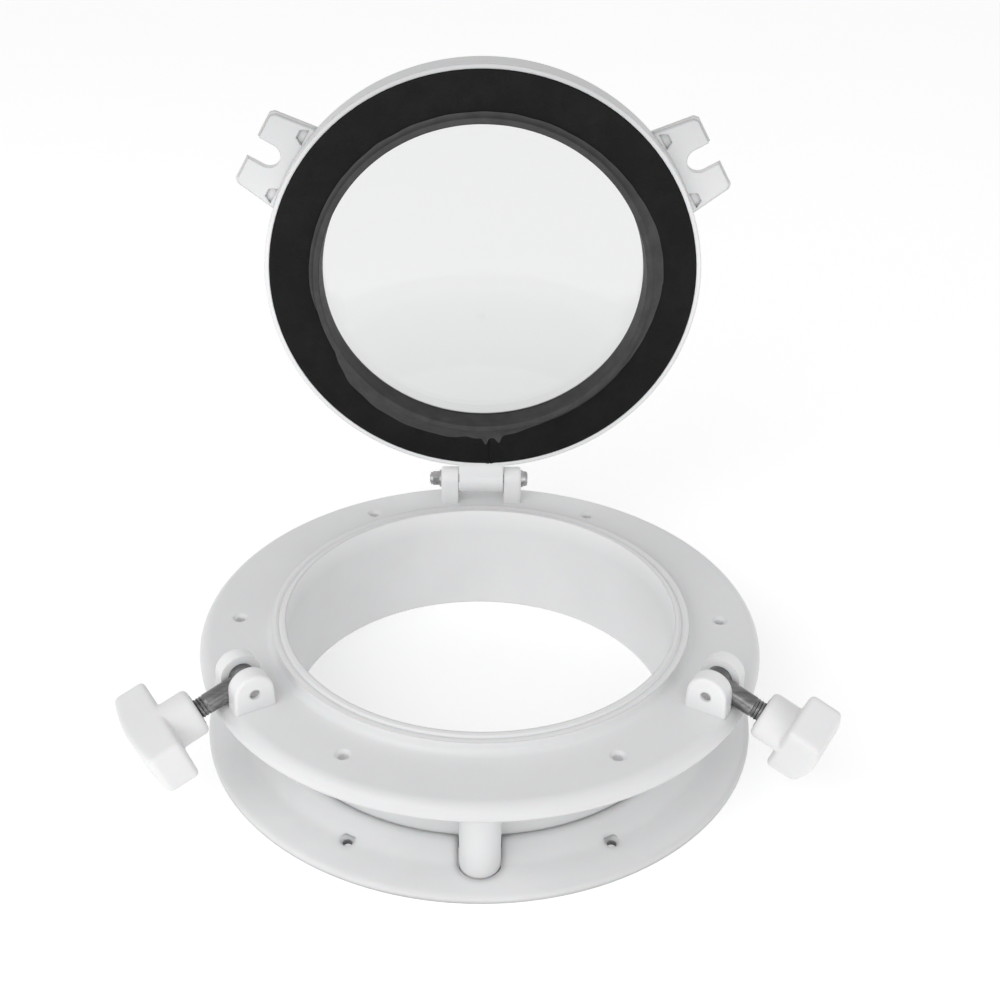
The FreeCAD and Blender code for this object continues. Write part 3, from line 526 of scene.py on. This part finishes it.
def make_retainer(face):
    """The retainer, from its mouth over its crest to a skirt that lies on the gasket's face."""
    bore, outer = radii("pane_retainer", LID)
    low, high = local_box("pane_retainer", LID)
    front, foot = low.z, high.z
    crest = bore + CREST_WIDTH
    section = [(bore - FOOT_OVERHANG, foot)]
    section += corner((bore + CREST_ROUND, front + CREST_ROUND), CREST_ROUND, 180, 270)
    section += corner((crest, front + CREST_ROUND), CREST_ROUND, 270, 325)
    # The skirt's points in the section, each with its step; spread() knows them by their place.
    skirt = {(crest + (outer - crest) * k / SKIRT_STEPS,
              front + (face - front) * k / SKIRT_STEPS): k for k in range(1, SKIRT_STEPS + 1)}
    section += list(skirt)
    section += [(outer - FOOT_SETBACK, face + FOOT_START), (outer - FOOT_SETBACK, foot)]

    def spread(angle, radius, height):
        step = skirt.get((radius, height))
        uneven = waves(angle, radius, *RETAINER_WAVES)
        if step:
            edge = skirt_radius(angle)
            slope_end = min(edge - SLOPE_END, SLOPE_LIMIT)
            share = min(1.0, step / (SKIRT_STEPS - 1))
            radius = edge if step == SKIRT_STEPS else crest + (slope_end - crest) * share
            sag = SKIRT_SAG * math.sin(math.pi * share)
            height = front + (face - front) * share + sag - SKIRT_LIFT
        if height < face:
            height += uneven
        return radius, height

    mesh = turned("RetainerRing", section, ring_angles(), spread)
    smooth(mesh, 50)
    mesh.transform(LID)
    ride_with(make_piece("RetainerRing", mesh, RETAINER), "pane_retainer")


# ---------------------------------------------------------------------------------------------
# Swing bolts and knobs, in the dog's own frame: bolt along X from the pin, pin along Y
# ---------------------------------------------------------------------------------------------
PITCH = 1.5 * MM
THREAD_DEPTH = 0.4 * MM
THREAD_START = 19.5 * MM
NECK_END = 13.4 * MM
BOLT_BEVEL = 1.0 * MM
PIN_HOLE = 2.56 * MM
EYE_BEVEL = 0.5 * MM
NECK_INSET = 0.05 * MM
ROWS_PER_TURN = 10
CREST_EDGE, FLANK, ROOT_POWER = 0.86, 0.62, 0.9


def thread_drop(turns):
    """Depth below the crest, as a share: flat crest, nearly straight flanks, flat root."""
    place = abs((turns % 1.0) - 0.5) * 2.0
    return min(1.0, max(0.0, (CREST_EDGE - place) / FLANK)) ** ROOT_POWER


def bolt_rod(name, start, end, radius, half_width, around=48):
    """The shank: flats on its neck, then a helical thread to a bevelled end."""
    rows = round((end - start) / (PITCH / ROWS_PER_TURN))
    rings = []
    for row in range(rows + 1):
        along = start + (end - start) * row / rows
        ramp = min(1.0, max(0.0, (along - THREAD_START) / PITCH))
        limit = radius - max(0.0, BOLT_BEVEL - (end - along))
        ring = []
        for k in range(around):
            turn = k / around
            drop = THREAD_DEPTH * ramp * thread_drop(along / PITCH - turn)
            reach = min(radius - drop, limit)
            across = reach * math.cos(2 * math.pi * turn)
            if along < NECK_END:
                across = max(-half_width, min(half_width, across))
            ring.append((along, across, reach * math.sin(2 * math.pi * turn)))
        rings.append(ring)
    return closed_grid(name, rings, wrap=False)


def stack(name, section, around=64):
    """A solid about X through rounds, each a distance along it and a radius."""
    rings = [[(along, radius * math.cos(a), radius * math.sin(a)) for a in even_turn(around)]
             for along, radius in section]
    return closed_grid(name, rings, wrap=False)


def pin_stack(name, section):
    """The same about Y, the pin's axis."""
    mesh = stack(name, section)
    mesh.transform(Matrix.Rotation(math.radians(90), 4, "Z"))
    return mesh


def make_swing_bolt(side):
    node = "swing_bolt_" + side
    place = dog_place(side)
    low, high = local_box(node, place)
    radius, half_width = -low.x, high.y
    shank = widest(node, place, start=NECK_END + PITCH)
    flat = half_width - EYE_BEVEL
    name = "SwingBolt_" + side
    eye = pin_stack(name, [(-half_width, radius - EYE_BEVEL), (-flat, radius),
                           (flat, radius), (half_width, radius - EYE_BEVEL)])
    piece = make_piece(name, eye, BOLT_STEEL)
    rod = bolt_rod("Rod", 0.0, high.x, shank, half_width - NECK_INSET)
    combine(piece, make_piece("Rod", rod, BOLT_STEEL), "UNION")
    hole = pin_stack("PinHole", [(-2 * half_width, PIN_HOLE), (2 * half_width, PIN_HOLE)])
    combine(piece, make_piece("PinHole", hole, BOLT_STEEL), "DIFFERENCE")
    smooth(piece.data, 32)
    piece.data.transform(place)
    ride_with(piece, node)


def widest(node, place, start=-math.inf, end=math.inf):
    """Largest distance from the bolt's axis of a CAD node's vertices from start to end along it."""
    return max(math.hypot(point.y, point.z)
               for point in local_points(node, place) if start < point.x < end)


HUB_LENGTH = 14.0 * MM
BAR_CROWN = 3.4 * MM
BAR_ROUND = 2.3 * MM
BAR_SEGMENTS = 5
CROWN_STEPS = 20
HUB_ROUND = 2.6 * MM
HUB_OVERLAP = 4 * MM
VOXEL = 0.55 * MM
SMOOTH_PASSES = 4
EDGE_MARGIN = 0.1 * MM

# The knob is trimmed so that its softened skin stays inside the CAD knob's box.
KNOB_TRIM = 0.25 * MM

# Radius and depth of the washer's recess, the insert's seat and the blind bore, and how far
# the plug that cuts them starts outside the hub.
BORE_STEPS = ((7.9 * MM, 1.5 * MM), (7.02 * MM, 16.5 * MM), (5.4 * MM, 29.0 * MM))
BORE_LEAD = 2 * MM


def bar_mesh(name, start, end, half_length, half_width):
    """The grip: straight inner face and ends, outer face an arc."""
    sweep = (half_length ** 2 + BAR_CROWN ** 2) / (2 * BAR_CROWN)
    outline = [(start, -half_length)]
    for k in range(CROWN_STEPS + 1):
        across = half_length * (2 * k / CROWN_STEPS - 1)
        outline.append((end - sweep + math.sqrt(sweep ** 2 - across ** 2), across))
    outline.append((start, half_length))
    rings = [[(x, y, z) for x, y in outline] for z in (-half_width, half_width)]
    return closed_grid(name, rings, wrap=False)


def hub_mesh(name, start, end, radius):
    """The hub: a short column with a rounded face, running into the bar."""
    section = corner((start + HUB_ROUND, radius - HUB_ROUND), HUB_ROUND, 180, 90)
    return stack(name, section + [(end, radius)])


def bore_mesh(name, start):
    """The washer's recess, the insert's seat and the blind bore, as one stepped plug."""
    section, begin = [], start - BORE_LEAD
    for radius, depth in BORE_STEPS:
        section += [(begin, radius), (start + depth, radius)]
        begin = start + depth
    return stack(name, section)


def soften(piece):
    """Merge the piece's shells into one skin and round its edges and inner corners."""
    skin = piece.modifiers.new("Skin", "REMESH")
    skin.mode = "VOXEL"
    skin.voxel_size = VOXEL
    rub = piece.modifiers.new("Rub", "SMOOTH")
    rub.factor = 0.5
    rub.iterations = SMOOTH_PASSES
    apply_modifiers(piece)


def make_knob(side):
    node = "knob_" + side
    place = dog_place(side, KNOB_ROLLS[side])
    low, high = local_box(node, place)
    name = "Knob_" + side
    hub_end = low.x + HUB_LENGTH
    end, half_length, half_width = (reach - KNOB_TRIM for reach in high)
    bar = bar_mesh(name, hub_end, end, half_length, half_width)
    piece = make_piece(name, bar, KNOB_WHITE)
    rounding = piece.modifiers.new("Round", "BEVEL")
    rounding.width = BAR_ROUND
    rounding.segments = BAR_SEGMENTS
    rounding.limit_method = "ANGLE"
    rounding.angle_limit = math.radians(40)
    apply_modifiers(piece)
    hub_radius = widest(node, place, end=hub_end - EDGE_MARGIN)
    hub = make_piece("Hub", hub_mesh("Hub", low.x, hub_end + HUB_OVERLAP, hub_radius), KNOB_WHITE)
    combine(piece, hub, "UNION")
    soften(piece)
    combine(piece, make_piece("Bore", bore_mesh("Bore", low.x), KNOB_WHITE), "DIFFERENCE")
    smooth(piece.data, 40)
    piece.data.transform(place)
    ride_with(piece, node)


# ---------------------------------------------------------------------------------------------
# Finishes of the CAD nodes
# ---------------------------------------------------------------------------------------------
def finish_nodes():
    for node, slot in SLOTS.items():
        mesh = NODES[node].data
        mesh.materials.clear()
        mesh.materials.append(SHADED_COPIES.get(node, SURFACES[slot]).made)


# ---------------------------------------------------------------------------------------------
# Floor, light and camera
# ---------------------------------------------------------------------------------------------
FLOOR_REACH = 6.0
FLOOR_GLOW = 0.31
WORLD_STRENGTH = 0.70
LIGHT_AIM = (0, 0, 0.08)

# The camera, as fitted to the photograph: place in metres, angles in degrees, lens in
# millimetres on a 36 mm sensor.
CAMERA_PLACE = Vector((-0.00318, -0.58745, 0.46117))
PITCH_DOWN, YAW_RIGHT, ROLL = 29.766, 1.156, 1.009
LENS, SENSOR = 50.305, 36.0


def make_floor():
    reach = FLOOR_REACH
    corners = [(-reach, -reach, 0), (reach, -reach, 0), (reach, reach, 0), (-reach, reach, 0)]
    mesh = bpy.data.meshes.new("Floor")
    mesh.from_pydata(corners, [], [(0, 1, 2, 3)])
    paper = Material("FloorPaper")
    paper.paint(paper.blend(paper.noise(3.0), grey(0.90), grey(0.92)))
    paper.set(Roughness=0.9, Emission_Color=grey(1.0), Emission_Strength=FLOOR_GLOW)
    make_piece("Floor", mesh, paper)


def area_light(name, place, size, power):
    data = bpy.data.lights.new(name, "AREA")
    data.shape = "DISK"
    data.size = size
    data.energy = power
    lamp = bpy.data.objects.new(name, data)
    lamp.location = place
    direction = Vector(LIGHT_AIM) - Vector(place)
    lamp.rotation_euler = direction.to_track_quat("-Z", "Y").to_euler()
    bpy.context.scene.collection.objects.link(lamp)


def make_world():
    world = bpy.data.worlds.new("Studio")
    world.use_nodes = True
    background = world.node_tree.nodes["Background"]
    background.inputs["Color"].default_value = grey(1.0)
    background.inputs["Strength"].default_value = WORLD_STRENGTH
    bpy.context.scene.world = world


def make_camera():
    """A camera looking down by pitch, turned right by yaw and rolled."""
    pitch, yaw, roll = map(math.radians, (PITCH_DOWN, YAW_RIGHT, ROLL))
    ahead = Vector((math.sin(yaw) * math.cos(pitch), math.cos(yaw) * math.cos(pitch),
                    -math.sin(pitch)))
    right = Vector((math.cos(yaw), -math.sin(yaw), 0))
    up = right.cross(ahead)
    across = right * math.cos(roll) + up * math.sin(roll)
    above = up * math.cos(roll) - right * math.sin(roll)
    turn = Matrix((across, above, -ahead)).transposed()
    data = bpy.data.cameras.new("Camera")
    data.lens = LENS
    data.sensor_width = SENSOR
    data.clip_start = 0.05
    camera = bpy.data.objects.new("Camera", data)
    camera.matrix_world = Matrix.Translation(CAMERA_PLACE) @ turn.to_4x4()
    bpy.context.scene.collection.objects.link(camera)
    bpy.context.scene.camera = camera


make_camera()
finish_nodes()
make_retainer(make_gasket())
for side in SIDES:
    make_swing_bolt(side)
    make_knob(side)
make_floor()
make_world()
area_light("KeyLight", (-0.7, -0.9, 0.9), size=1.2, power=5.0)
area_light("FillLight", (0.2, -3.1, 1.0), size=2.2, power=10.0)
bpy.context.scene.view_settings.view_transform = "Standard"
